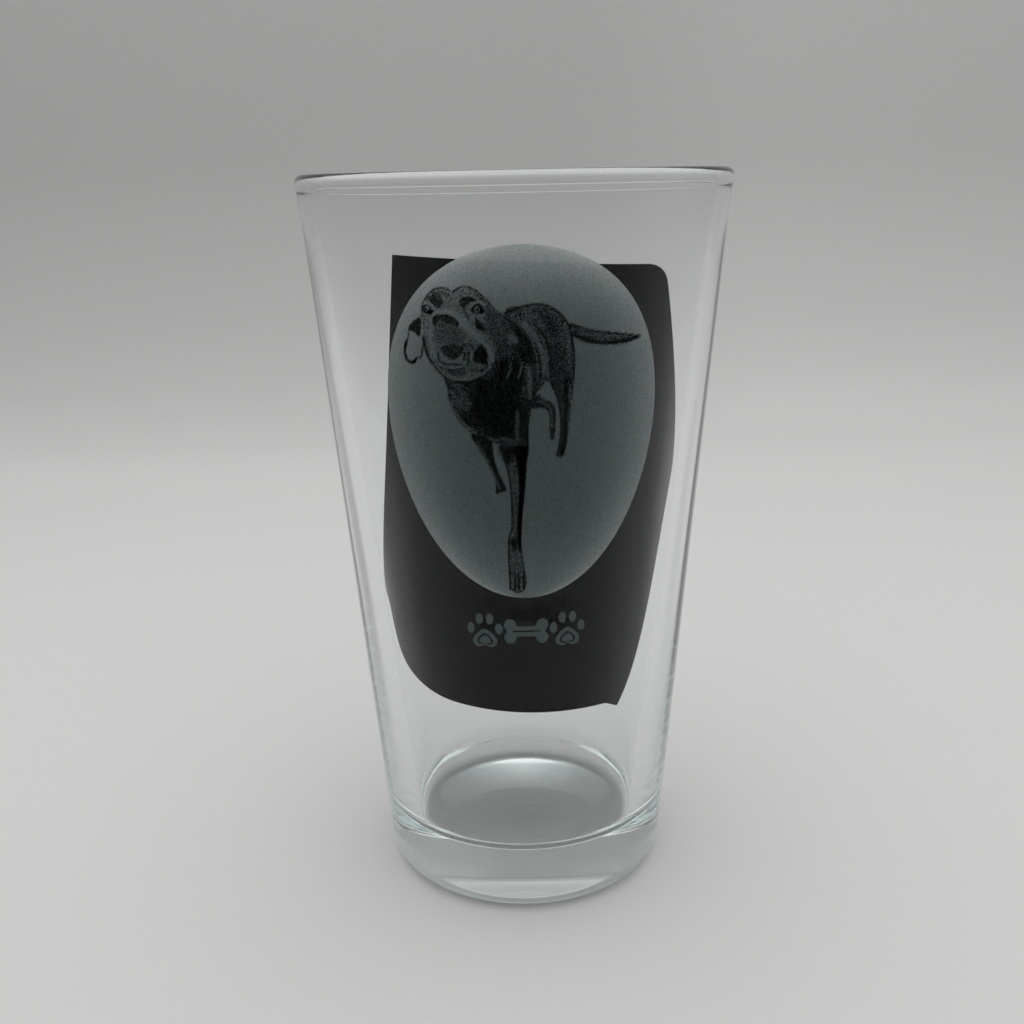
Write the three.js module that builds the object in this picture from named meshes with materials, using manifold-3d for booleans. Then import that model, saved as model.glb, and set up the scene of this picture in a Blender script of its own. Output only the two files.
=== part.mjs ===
// A conical shaker pint glass with a curled black card standing loose inside it.
// Millimetres, +Z up. The origin is the centre of the foot, on the table, and the decorated side faces -Y.

import * as THREE from "three";
import { mergeVertices } from "three/addons/utils/BufferGeometryUtils.js";
import Module from "manifold-3d";

// The tumbler's driving dimensions.
const height = 149.2;
const footRadius = 30.4; // the outer cone carried down to the table
const mouthRadius = 42.85; // the outer cone carried up to the top of the rim
const wallAtFoot = 6.8; // horizontal, and carried down to the table like the cone
const wallAtMouth = 2.8;
const floorHeight = 9; // the pressed base, at the middle of its dished floor
const floorSlope = THREE.MathUtils.degToRad(18); // of the dish, at its edge
const floorFillet = 4;
const heelRadius = 4.7;
const footRingWidth = 3.2; // the flat ring that the glass stands on
const pushUp = 0.45; // how far the underside rises inside that ring
const beadHeight = 3.1;
const beadOverhang = 0.15; // how far the rim bead stands out from the cone
const beadStep = 0.15; // how far it stands out from the wall just under it, which flares
const flareHeight = 12;

// The card's driving dimensions.
const cardThickness = 0.4;
const cardClearance = 0.5; // between the card and the wall that it leans on
const cardTop = 135.5;
const cardBottom = 44.3;
const cardTilt = 2.5; // how much lower the top edge is at its right end
const cardHalfWidth = 28.9; // as seen from the front, at its widest
const cardCorner = 4;

// How finely round shapes are cut into facets.
const turnSegments = 72;
const arcDivisions = 4; // an arc becomes twice as many chords

const outerTaper = (mouthRadius - footRadius) / height;
const outerRadiusAt = (z) => footRadius + outerTaper * z;
const cavityFootRadius = footRadius - wallAtFoot;
const cavityTaper = (mouthRadius - wallAtMouth - cavityFootRadius) / height;
const cavityRadiusAt = (z) => cavityFootRadius + cavityTaper * z;

// The floor is a parabolic dish, whose edge meets a round that touches the cavity's wall.
const filletInset = floorFillet * (Math.hypot(1, cavityTaper) - Math.sin(floorSlope));
const dishRadius =
  (cavityRadiusAt(floorHeight + floorFillet * Math.cos(floorSlope)) - filletInset) /
  (1 - (cavityTaper * Math.tan(floorSlope)) / 2);
const dishDepth = (dishRadius * Math.tan(floorSlope)) / 2;

const glassMaterial = new THREE.MeshStandardMaterial({
  color: 0xdde6e4,
  roughness: 0.04,
  metalness: 0,
  transparent: true,
  opacity: 0.35,
});
const cardMaterial = new THREE.MeshStandardMaterial({ color: 0x202223, roughness: 0.8, metalness: 0 });

// Turns an outline of radius against height about the Z axis.
function turned(points) {
  const geometry = new THREE.LatheGeometry(points, turnSegments);
  return geometry.rotateX(Math.PI / 2);
}

// The tumbler's section, from the axis under the base, round the outside and the rim, to the axis on the floor.
function tumblerSection() {
  const beadRadius = mouthRadius + beadOverhang;
  const beadFoot = height - beadHeight;
  const flareFoot = beadFoot - flareHeight;
  const flareMiddle = beadFoot - flareHeight / 2;
  const lipRadius = (beadRadius - cavityRadiusAt(height)) / 2;
  const heelCentre = outerRadiusAt(heelRadius) - heelRadius * Math.hypot(1, outerTaper);
  const ringInner = heelCentre - footRingWidth;
  const filletCentre = dishRadius - floorFillet * Math.sin(floorSlope);
  const filletHeight = floorHeight + dishDepth + floorFillet * Math.cos(floorSlope);
  const down = -Math.PI / 2;

  const section = new THREE.Path();
  section.moveTo(0, pushUp);
  section.bezierCurveTo(0.45 * ringInner, pushUp, 0.65 * ringInner, 0, ringInner, 0);
  section.lineTo(heelCentre, 0);
  section.absarc(heelCentre, heelRadius, heelRadius, down, -Math.atan(outerTaper), false);
  section.lineTo(outerRadiusAt(flareFoot), flareFoot);
  section.quadraticCurveTo(outerRadiusAt(flareMiddle), flareMiddle, beadRadius - beadStep, beadFoot);
  section.lineTo(beadRadius, beadFoot + 2 * beadStep);
  section.absarc(beadRadius - lipRadius, height - lipRadius, lipRadius, 0, Math.PI, false);
  section.absarc(filletCentre, filletHeight, floorFillet, -Math.atan(cavityTaper), down + floorSlope, true);
  section.quadraticCurveTo(dishRadius / 2, floorHeight, 0, floorHeight);
  return section.getPoints(arcDivisions);
}

function tumbler() {
  const mesh = new THREE.Mesh(turned(tumblerSection()), glassMaterial);
  mesh.name = "glass_tumbler";
  return mesh;
}

// The card's edge as seen from the front: X across and Z up, hand-cut and leaning a little to the right.
function cardOutline() {
  const topRight = new THREE.Vector2(26, cardTop - cardTilt);
  const outline = new THREE.Shape();
  outline.moveTo(-20.8, cardTop);
  outline.lineTo(-26.1, 74);
  outline.lineTo(-27.2, 67);
  outline.lineTo(-25.6, 65.5);
  outline.bezierCurveTo(-24.1, 56, -23, 49, -12.5, 47.4);
  outline.bezierCurveTo(-3, 46.2, 6, 46, 15.4, cardBottom + 1.5);
  outline.lineTo(17.7, cardBottom);
  outline.bezierCurveTo(22.8, 54, cardHalfWidth - 3.2, 76, cardHalfWidth, 92);
  outline.bezierCurveTo(cardHalfWidth + 0.6, 102, 27.8, 119, topRight.x + 0.4, topRight.y - cardCorner);
  outline.quadraticCurveTo(topRight.x, topRight.y, topRight.x - cardCorner, topRight.y);
  return outline;
}

// The cone shell that the card's sheet is cut from, closed on itself.
function cardShell() {
  const outer = (z) => cavityRadiusAt(z) - cardClearance;
  const inner = (z) => outer(z) - cardThickness;
  const low = cardBottom - 1;
  const high = cardTop + 1;
  const corner = (radiusAt, z) => new THREE.Vector2(radiusAt(z), z);
  return turned([corner(outer, low), corner(outer, high), corner(inner, high), corner(inner, low), corner(outer, low)]);
}

const wasm = await Module();
wasm.setup();

function toSolid(geometry) {
  const bare = geometry.clone();
  bare.deleteAttribute("normal");
  bare.deleteAttribute("uv");
  const merged = mergeVertices(bare, 1e-4);
  return new wasm.Manifold(
    new wasm.Mesh({
      numProp: 3,
      vertProperties: merged.getAttribute("position").array,
      triVerts: new Uint32Array(merged.getIndex().array),
    }),
  );
}

function toGeometry(solid) {
  const cut = solid.getMesh();
  const geometry = new THREE.BufferGeometry();
  geometry.setAttribute("position", new THREE.BufferAttribute(new Float32Array(cut.vertProperties), 3));
  geometry.setIndex(new THREE.BufferAttribute(new Uint32Array(cut.triVerts), 1));
  geometry.computeVertexNormals();
  return geometry;
}

function card() {
  const cutter = new THREE.ExtrudeGeometry(cardOutline(), {
    depth: mouthRadius,
    bevelEnabled: false,
    curveSegments: 2 * arcDivisions,
  });
  cutter.rotateX(Math.PI / 2); // the outline stands up, and the cutter reaches from the axis to the front
  const sheet = toSolid(cardShell()).intersect(toSolid(cutter));
  const mesh = new THREE.Mesh(toGeometry(sheet), cardMaterial);
  mesh.name = "insert_card";
  return mesh;
}

const pintGlass = new THREE.Group();
pintGlass.add(tumbler(), card());

export default pintGlass;
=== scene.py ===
"""A shaker pint glass with a laser-etched running dog, and the curled black card that stands inside it.

Metres, +Z up. The origin is the centre of the foot, and the etched side faces -Y.
"""

import math

import bpy
import numpy as np
from mathutils import Matrix, Vector
from mathutils.geometry import delaunay_2d_cdt


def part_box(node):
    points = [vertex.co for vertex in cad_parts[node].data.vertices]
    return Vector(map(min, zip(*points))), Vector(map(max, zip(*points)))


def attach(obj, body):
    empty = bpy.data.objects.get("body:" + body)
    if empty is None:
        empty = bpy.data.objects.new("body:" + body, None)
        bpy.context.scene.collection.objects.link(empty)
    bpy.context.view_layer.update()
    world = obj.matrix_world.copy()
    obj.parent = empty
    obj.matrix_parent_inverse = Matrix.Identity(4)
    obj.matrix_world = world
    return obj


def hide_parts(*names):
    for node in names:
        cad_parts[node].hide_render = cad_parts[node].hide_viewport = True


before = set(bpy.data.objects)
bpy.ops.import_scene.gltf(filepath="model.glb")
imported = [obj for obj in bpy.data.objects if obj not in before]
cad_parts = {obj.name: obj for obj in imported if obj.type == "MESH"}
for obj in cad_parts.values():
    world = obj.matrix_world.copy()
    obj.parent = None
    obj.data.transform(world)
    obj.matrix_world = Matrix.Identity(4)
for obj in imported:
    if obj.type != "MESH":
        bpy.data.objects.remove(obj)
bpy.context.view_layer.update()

MM = 0.001

# The tumbler. Its height and bead come from the frame, and the rest are the CAD model's driving sizes.
glass_high = Vector(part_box("glass_tumbler")[1])
HEIGHT = glass_high.z
BEAD_RADIUS = glass_high.x
BEAD_OVERHANG = 0.15 * MM
BEAD_HEIGHT = 3.1 * MM
BEAD_STEP = 0.15 * MM
FLARE_HEIGHT = 12 * MM
MOUTH_RADIUS = BEAD_RADIUS - BEAD_OVERHANG
FOOT_RADIUS = 30.4 * MM
WALL_AT_MOUTH = 2.8 * MM
WALL_AT_FOOT = 6.8 * MM
FLOOR_HEIGHT = 9 * MM
FLOOR_SLOPE = math.radians(18)
FLOOR_FILLET = 4 * MM
HEEL_RADIUS = 4.7 * MM
FOOT_RING_WIDTH = 3.2 * MM
PUSH_UP = 0.45 * MM

# The card, which leans on the wall. Its outline is in the front view.
card_low, card_high = (Vector(corner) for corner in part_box("insert_card"))
CARD_CLEARANCE = 0.5 * MM
CARD_THICKNESS = 0.4 * MM
CARD_TOP = card_high.z
CARD_BOTTOM = card_low.z
CARD_CORNER = 4 * MM
CARD_HALF_WIDTH = 28.9 * MM
CARD_TILT = 2.5 * MM

OUTER_TAPER = (MOUTH_RADIUS - FOOT_RADIUS) / HEIGHT
CAVITY_FOOT_RADIUS = FOOT_RADIUS - WALL_AT_FOOT
CAVITY_TAPER = (MOUTH_RADIUS - WALL_AT_MOUTH - CAVITY_FOOT_RADIUS) / HEIGHT


def outer_radius(z):
    return FOOT_RADIUS + OUTER_TAPER * z


def cavity_radius(z):
    return CAVITY_FOOT_RADIUS + CAVITY_TAPER * z


# ---------------------------------------------------------------- mesh helpers


def make_mesh(name, points, faces):
    mesh = bpy.data.meshes.new(name)
    mesh.from_pydata([tuple(p) for p in points], [], [tuple(f) for f in faces])
    mesh.validate()
    mesh.update()
    mesh.shade_smooth()
    obj = bpy.data.objects.new(name, mesh)
    bpy.context.scene.collection.objects.link(obj)
    return obj


def arc(centre_r, centre_z, radius, start, end, steps):
    """Points on a round of a section, from angle start to angle end."""
    angles = np.linspace(start, end, steps + 1)
    return [(centre_r + radius * math.cos(a), centre_z + radius * math.sin(a)) for a in angles]


def line(start, end, steps):
    """Points from start up to, and not including, end, closer together towards both ends."""
    start, end = np.array(start), np.array(end)
    shares = (1 - np.cos(np.linspace(0, math.pi, steps + 1)[:-1])) / 2
    return [tuple(start + (end - start) * share) for share in shares]


# ---------------------------------------------------------------- the tumbler

TURN_SEGMENTS = 288
ROUND_STEPS = 12
FOOT_RING_STEPS = 3
DISH_STEPS = 24
WALL_STEPS = 30


def tumbler_section():
    """(radius, height) points from the axis under the base, round the outside and the rim, to the floor."""
    bead_foot = HEIGHT - BEAD_HEIGHT
    lip_radius = (BEAD_RADIUS - cavity_radius(HEIGHT)) / 2
    outer_slant = math.atan(OUTER_TAPER)
    cavity_slant = math.atan(CAVITY_TAPER)
    heel_centre = outer_radius(HEEL_RADIUS) - HEEL_RADIUS / math.cos(outer_slant)
    fillet_inset = FLOOR_FILLET * (1 / math.cos(cavity_slant) - math.sin(FLOOR_SLOPE))
    dish_radius = cavity_radius(FLOOR_HEIGHT + FLOOR_FILLET * math.cos(FLOOR_SLOPE)) - fillet_inset
    dish_radius /= 1 - CAVITY_TAPER * math.tan(FLOOR_SLOPE) / 2
    dish_depth = dish_radius * math.tan(FLOOR_SLOPE) / 2
    fillet_z = FLOOR_HEIGHT + dish_depth + FLOOR_FILLET * math.cos(FLOOR_SLOPE)
    fillet_centre = dish_radius - FLOOR_FILLET * math.sin(FLOOR_SLOPE)
    ring_inner = heel_centre - FOOT_RING_WIDTH

    points = []
    for step in range(ROUND_STEPS):
        share = step / ROUND_STEPS
        points.append((ring_inner * share, PUSH_UP * (1 - share**2) ** 2))
    points += line((ring_inner, 0), (heel_centre, 0), FOOT_RING_STEPS)
    points += arc(heel_centre, HEEL_RADIUS, HEEL_RADIUS, -math.pi / 2, -outer_slant, ROUND_STEPS)
    wall_foot = points.pop()
    flare_foot = bead_foot - FLARE_HEIGHT
    flare_gain = BEAD_RADIUS - BEAD_STEP - outer_radius(bead_foot)
    points += line(wall_foot, (outer_radius(flare_foot), flare_foot), WALL_STEPS)
    for share in np.linspace(0, 1, ROUND_STEPS + 1):
        z = flare_foot + FLARE_HEIGHT * share
        points.append((outer_radius(z) + flare_gain * share**2, z))
    points.append((BEAD_RADIUS, bead_foot + 2 * BEAD_STEP))
    points += arc(BEAD_RADIUS - lip_radius, HEIGHT - lip_radius, lip_radius, 0, math.pi, 2 * ROUND_STEPS)
    lip_inner = points.pop()
    fillet_end = FLOOR_SLOPE - math.pi / 2
    fillet = arc(fillet_centre, fillet_z, FLOOR_FILLET, -cavity_slant, fillet_end, ROUND_STEPS)
    points += line(lip_inner, fillet[0], WALL_STEPS)
    points += fillet
    points.pop()
    for step in range(DISH_STEPS + 1):
        share = 1 - step / DISH_STEPS
        points.append((dish_radius * share, FLOOR_HEIGHT + dish_depth * share**2))
    return points


# Pressing leaves the inside of the wall a little wavy. Each wave has its count round the glass, its start at
# the rim, and its drift from there down to the floor, the last two in radians.
RIPPLE = 0.04 * MM
RIPPLE_WAVES = ((5, 0.5, 1.1), (11, 2.0, -0.8), (17, 0.9, 1.6), (26, 3.1, -1.2))


def ripple(turn, depth):
    """The waves' mean, between -1 and 1. Depth goes from 0 at the rim to 1 at the floor."""
    waves = [math.sin(count * turn + start + drift * depth) for count, start, drift in RIPPLE_WAVES]
    return sum(waves) / len(waves)


def tumbler():
    section = tumbler_section()
    rings = section[1:-1]
    turns = np.linspace(0, 2 * math.pi, TURN_SEGMENTS, endpoint=False)
    points = []
    inside = False
    for r, z in rings:
        inside = inside or z >= HEIGHT
        depth = (HEIGHT - z) / (HEIGHT - FLOOR_HEIGHT)
        fade = math.sin(math.pi * min(depth, 1)) if inside else 0
        for t in turns:
            wavy = r + RIPPLE * fade * ripple(t, depth)
            points.append((wavy * math.cos(t), wavy * math.sin(t), z))
    under, floor = len(points), len(points) + 1
    points += [(0, 0, section[0][1]), (0, 0, section[-1][1])]
    faces = []
    last = (len(rings) - 1) * TURN_SEGMENTS
    for i in range(TURN_SEGMENTS):
        j = (i + 1) % TURN_SEGMENTS
        for ring in range(len(rings) - 1):
            a, b = ring * TURN_SEGMENTS, (ring + 1) * TURN_SEGMENTS
            faces.append((a + i, a + j, b + j, b + i))
        faces.append((under, j, i))
        faces.append((last + i, last + j, floor))
    obj = make_mesh("tumbler", points, faces)
    obj.data.materials.append(clear_glass())
    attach(obj, "glass")
    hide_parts("glass_tumbler")
    return obj


# ---------------------------------------------------------------- the card

CARD_COLUMNS = 64
CARD_ROWS = 96
CARD_WAVE = 0.15 * MM
CARD_WAVE_ACROSS = 7 * MM
CARD_WAVE_UP = 12 * MM
CARD_WAVE_LEAN = 31 * MM


def bezier(a, b, c, d, steps=16):
    """Points on a cubic curve from a to d."""
    t = np.linspace(0, 1, steps + 1)[:, None]
    a, b, c, d = (np.array(point, float) for point in (a, b, c, d))
    return a * (1 - t) ** 3 + 3 * b * t * (1 - t) ** 2 + 3 * c * t**2 * (1 - t) + d * t**3


def spaced(path, count):
    """The path with its points spaced evenly."""
    steps = np.hypot(*np.diff(path, axis=0).T)
    reached = np.concatenate(([0], np.cumsum(steps)))
    wanted = np.linspace(0, reached[-1], count + 1)
    return np.column_stack([np.interp(wanted, reached, path[:, axis]) for axis in (0, 1)])


def card_sides():
    """The card's left, right, bottom and top edges in the front view, as (across, up) in millimetres."""
    top = CARD_TOP / MM
    bottom = CARD_BOTTOM / MM
    corner = CARD_CORNER / MM
    half_width = CARD_HALF_WIDTH / MM
    middle_right = (half_width, 92)
    top_left = (-20.8, top)
    top_right = np.array((26, top - CARD_TILT / MM))
    left = np.array([top_left, (-26.1, 74), (-27.2, 67)])
    below_left = bezier((-25.6, 65.5), (-24.1, 56), (-23, 49), (-12.5, 47.4))
    below_right = bezier(below_left[-1], (-3, 46.2), (6, 46), (15.4, bottom + 1.5))
    below = np.vstack((left[-1], below_left, below_right, (17.7, bottom)))
    right = bezier(below[-1], (22.8, 54), (half_width - 3.2, 76), middle_right)
    rest = bezier(middle_right, (half_width + 0.6, 102), (27.8, 119), top_right + (0.4, -corner))
    right = np.vstack((right, rest[1:]))
    round_start = top_right - (corner, 0)
    round_pull = 2 / 3
    above = bezier(
        round_start,
        round_start + (top_right - round_start) * round_pull,
        right[-1] + (top_right - right[-1]) * round_pull,
        right[-1],
    )
    above = np.vstack((top_left, above))
    return left[::-1], right, below, above


def card_front():
    """A grid of (across, up) points that fills the card's outline."""
    left, right, below, above = card_sides()
    left, right = spaced(left, CARD_ROWS), spaced(right, CARD_ROWS)
    below, above = spaced(below, CARD_COLUMNS), spaced(above, CARD_COLUMNS)
    s = np.linspace(0, 1, CARD_COLUMNS + 1)[None, :, None]
    t = np.linspace(0, 1, CARD_ROWS + 1)[:, None, None]
    sides = left[:, None] * (1 - s) + right[:, None] * s
    ends = below[None] * (1 - t) + above[None] * t
    corners = (below[0] * (1 - s) + below[-1] * s) * (1 - t) + (above[0] * (1 - s) + above[-1] * s) * t
    return (sides + ends - corners) * MM


def card():
    grid = card_front()
    across, up = grid[..., 0], grid[..., 1]
    wave = np.sin(across / CARD_WAVE_ACROSS + up / CARD_WAVE_LEAN) * np.sin(up / CARD_WAVE_UP + 1)
    wave = CARD_WAVE * (1 + wave) / 2
    points = []
    for depth in (0, CARD_THICKNESS):
        radius = cavity_radius(up) - CARD_CLEARANCE - wave - depth
        turn = np.arcsin(across / radius)
        layer = np.stack((radius * np.sin(turn), -radius * np.cos(turn), up), -1)
        points += layer.reshape(-1, 3).tolist()
    width = CARD_COLUMNS + 1
    size = width * (CARD_ROWS + 1)
    faces = []
    for row in range(CARD_ROWS):
        for column in range(CARD_COLUMNS):
            a = row * width + column
            faces.append((a, a + 1, a + width + 1, a + width))
            faces.append((size + a, size + a + width, size + a + width + 1, size + a + 1))
    rim = [*range(width), *range(2 * width - 1, size, width)]
    rim += [*range(size - 2, size - width - 1, -1), *range(size - 2 * width, 0, -width)]
    for a, b in zip(rim, rim[1:] + rim[:1]):
        faces.append((a, size + a, size + b, b))
    obj = make_mesh("card", points, faces)
    obj.data.materials.append(black_card())
    obj.data.materials.append(card_core())
    for polygon in obj.data.polygons[-len(rim) :]:
        polygon.material_index = 1
        polygon.use_smooth = False
    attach(obj, "insert")
    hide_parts("insert_card")


# ---------------------------------------------------------------- drawing the dog

# The picture is drawn in millimetres about the medallion's middle, across and up the rolled-out glass.
# Frost is 1 on the etched ground and 0 where the glass is left clear, so that the black card shows.

TINY = 1e-9


def smooth(points, closed=True, steps=5):
    """A curve that runs smoothly through the points."""
    p = np.array(points, float)
    if closed:
        p = np.vstack((p[-1], p, p[:2]))
    else:
        p = np.vstack((2 * p[0] - p[1], p, 2 * p[-1] - p[-2]))
    before, here, after, beyond = p[:-3], p[1:-2], p[2:-1], p[3:]
    t = np.linspace(0, 1, steps, endpoint=False)[:, None, None]
    cubic = 3 * (here - after) + beyond - before
    square = 2 * before - 5 * here + 4 * after - beyond
    path = here + 0.5 * ((after - before) * t + square * t**2 + cubic * t**3)
    path = path.transpose(1, 0, 2).reshape(-1, 2)
    last = path[:1] if closed else p[-2:-1]
    return np.vstack((path, last))


def near(path, u, v):
    """Distance from each point of the grid to the path."""
    distance = np.full(u.shape, np.inf)
    for a, b in zip(path[:-1], path[1:]):
        run = b - a
        along = ((u - a[0]) * run[0] + (v - a[1]) * run[1]) / max(run @ run, TINY)
        along = np.clip(along, 0, 1)
        distance = np.minimum(distance, np.hypot(u - a[0] - along * run[0], v - a[1] - along * run[1]))
    return distance


def within(path, u, v):
    """True for the points of the grid that the closed path goes round."""
    odd = np.zeros(u.shape, bool)
    for a, b in zip(path[:-1], path[1:]):
        if a[1] != b[1]:
            crossing = a[0] + (v - a[1]) * (b[0] - a[0]) / (b[1] - a[1])
            odd ^= ((a[1] > v) != (b[1] > v)) & (u < crossing)
    return odd


class Picture:
    """How frosted the glass is at each point of a grid."""

    def __init__(self, u, v):
        self.u = u
        self.v = v
        self.frost = np.ones(u.shape)

    def _blend(self, path, reach, cover, frost):
        low, high = path.min(0) - reach, path.max(0) + reach
        touched = (self.u > low[0]) & (self.u < high[0]) & (self.v > low[1]) & (self.v < high[1])
        share = cover(path, self.u[touched], self.v[touched])
        self.frost[touched] += (frost - self.frost[touched]) * share

    def area(self, frost, points, edge=0.12):
        """Fills a closed outline, with an edge that is soft over the given distance on each side."""

        def cover(path, u, v):
            side = np.where(within(path, u, v), 1, -1)
            return np.clip(0.5 + side * near(path, u, v) / (2 * edge), 0, 1)

        self._blend(smooth(points), edge, cover, frost)

    def stroke(self, frost, width, points, edge=0.12):
        """Draws a line of the given width."""

        def cover(path, u, v):
            return np.clip(0.5 + (width / 2 - near(path, u, v)) / (2 * edge), 0, 1)

        self._blend(smooth(points, closed=False), width / 2 + edge, cover, frost)


def draw_tail(picture):
    tail = [
        (8.4, 18.8), (12.4, 17.4), (17.3, 16.6), (22.1, 15.7), (20.5, 15.0), (17.4, 14.8), (13.0, 15.2),
        (8.6, 16.8),
    ]
    picture.area(0.28, tail)
    picture.stroke(0.0, 0.7, [(8.8, 16.8), (12.0, 15.5), (15.5, 15.0), (19.0, 15.1), (21.6, 15.7)], 0.25)
    picture.stroke(0.05, 0.25, [(8.6, 18.6), (12.4, 17.4), (17.3, 16.6), (22.0, 15.8)])
    picture.stroke(0.55, 0.3, [(10.5, 16.9), (14.0, 16.3), (17.5, 16.0)], 0.2)


def draw_haunch(picture):
    back = [
        (-3.0, 20.9), (0.7, 22.1), (3.1, 22.3), (5.2, 21.6), (7.2, 19.9), (8.5, 17.4), (8.9, 14.0),
        (8.9, 9.5), (7.5, 6.5), (5.6, 7.0), (4.2, 8.9), (2.0, 7.0), (-1.0, 12.0),
    ]
    picture.area(0.3, back)
    picture.area(0.12, [(2.5, 21.0), (4.6, 20.6), (6.2, 18.4), (5.8, 15.8), (4.6, 17.2), (3.0, 19.2)], 0.8)
    picture.area(0.16, [(4.5, 15.0), (7.2, 14.5), (7.6, 9.5), (5.8, 8.4), (4.8, 10.5)], 0.9)
    picture.area(0.48, [(0.6, 20.8), (2.4, 20.6), (3.6, 18.6), (2.6, 18.0), (1.2, 19.2)], 0.6)
    picture.stroke(0.5, 0.5, [(7.4, 18.4), (8.0, 15.5), (8.1, 12.0), (7.7, 8.0)], 0.4)
    for shift in (0.0, 0.9, 1.8):
        light_fold = [(-0.4 + shift, 19.6), (1.6 + shift, 16.6), (2.5 + shift, 13.0), (2.8 + shift, 9.6)]
        picture.stroke(0.62, 0.28, light_fold, 0.25)
        dark_fold = [(0.1 + shift, 19.4), (2.1 + shift, 16.4), (3.0 + shift, 12.8), (3.1 + shift, 9.4)]
        picture.stroke(0.02, 0.4, dark_fold, 0.25)
    back_line = [(-3.0, 20.9), (0.7, 22.1), (3.1, 22.3), (5.2, 21.6), (7.2, 19.9), (8.4, 18.0)]
    picture.stroke(0.0, 0.3, back_line)
    picture.stroke(0.0, 0.35, [(8.5, 17.2), (9.0, 14.0), (9.0, 10.0), (8.5, 5.5)])


def draw_hind_legs(picture):
    far_leg = [
        (1.3, 4.2), (3.6, 4.1), (4.6, 2.8), (4.6, 0.7), (4.8, -1.7), (5.5, -1.0), (5.7, 3.2),
        (5.2, 4.8), (3.5, 5.8), (2.6, 6.6),
    ]
    picture.area(0.08, far_leg)
    picture.stroke(0.6, 0.35, [(2.6, 5.4), (4.3, 4.6), (5.0, 3.0), (5.0, 0.4)], 0.2)
    near_leg = [
        (5.0, 8.6), (6.1, 5.4), (6.6, 2.0), (6.6, -0.8), (5.9, -4.6), (6.3, -5.0), (7.1, -4.8),
        (7.8, -2.0), (8.2, 1.5), (8.6, 6.0), (8.9, 9.5), (7.0, 10.5),
    ]
    picture.area(0.2, near_leg)
    picture.stroke(0.0, 0.5, [(7.6, 9.0), (7.7, 5.0), (7.5, 1.0), (7.3, -2.0), (6.7, -4.6)], 0.4)
    picture.stroke(0.5, 0.3, [(8.5, 8.0), (8.2, 4.0), (8.0, 0.8)], 0.2)
    picture.stroke(0.0, 0.25, [(5.0, 8.6), (6.1, 5.4), (6.6, 2.0), (6.6, -0.8), (5.9, -4.6)])


def draw_chest(picture):
    chest = [
        (-13.9, 10.4), (-13.5, 7.8), (-13.2, 5.5), (-12.6, 3.7), (-11.4, 1.6), (-9.9, 0.2),
        (-7.8, -1.1), (-5.1, -2.1), (-2.0, -3.4), (0.7, -3.2), (0.8, 0.6), (1.2, 4.1), (2.4, 6.8),
        (2.2, 10.0), (0.6, 13.0), (-2.4, 15.6), (-6.0, 14.0), (-10.0, 11.0),
    ]
    picture.area(0.1, chest)
    core = [
        (-8.6, 8.0), (-9.0, 3.2), (-6.6, -0.2), (-2.6, -1.2), (-0.4, 1.6), (-0.6, 9.0), (-3.0, 12.6),
        (-6.4, 11.0),
    ]
    picture.area(0.02, core, 1.0)
    picture.area(0.3, [(-12.8, 8.6), (-10.6, 8.2), (-9.6, 5.6), (-10.6, 3.8), (-12.2, 5.0)], 0.8)
    picture.stroke(0.6, 0.22, [(-12.9, 7.2), (-11.4, 5.4), (-9.2, 5.0)], 0.15)
    picture.stroke(0.5, 0.22, [(-12.7, 6.2), (-11.6, 4.4), (-9.8, 3.8)], 0.15)
    lower_edge = [(-12.9, 5.2), (-12.0, 3.2), (-10.6, 1.4), (-8.6, -0.2), (-6.4, -1.2), (-4.4, -1.7)]
    picture.stroke(0.75, 0.3, lower_edge, 0.15)
    picture.stroke(0.55, 0.5, [(-3.8, -1.3), (-2.6, -1.6), (-1.8, -2.4)], 0.35)
    for shift in (0.0, 1.3):
        picture.stroke(0.55, 0.35, [(-0.4 + shift, 12.4), (0.2 + shift, 9.6), (0.1 + shift, 6.4)], 0.3)
    picture.stroke(0.5, 0.4, [(-1.1, 3.4), (-1.2, 0.4), (-1.1, -1.8)], 0.3)
    picture.stroke(0.0, 0.25, [(0.7, -3.2), (0.8, 0.6), (1.3, 4.2)])


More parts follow.
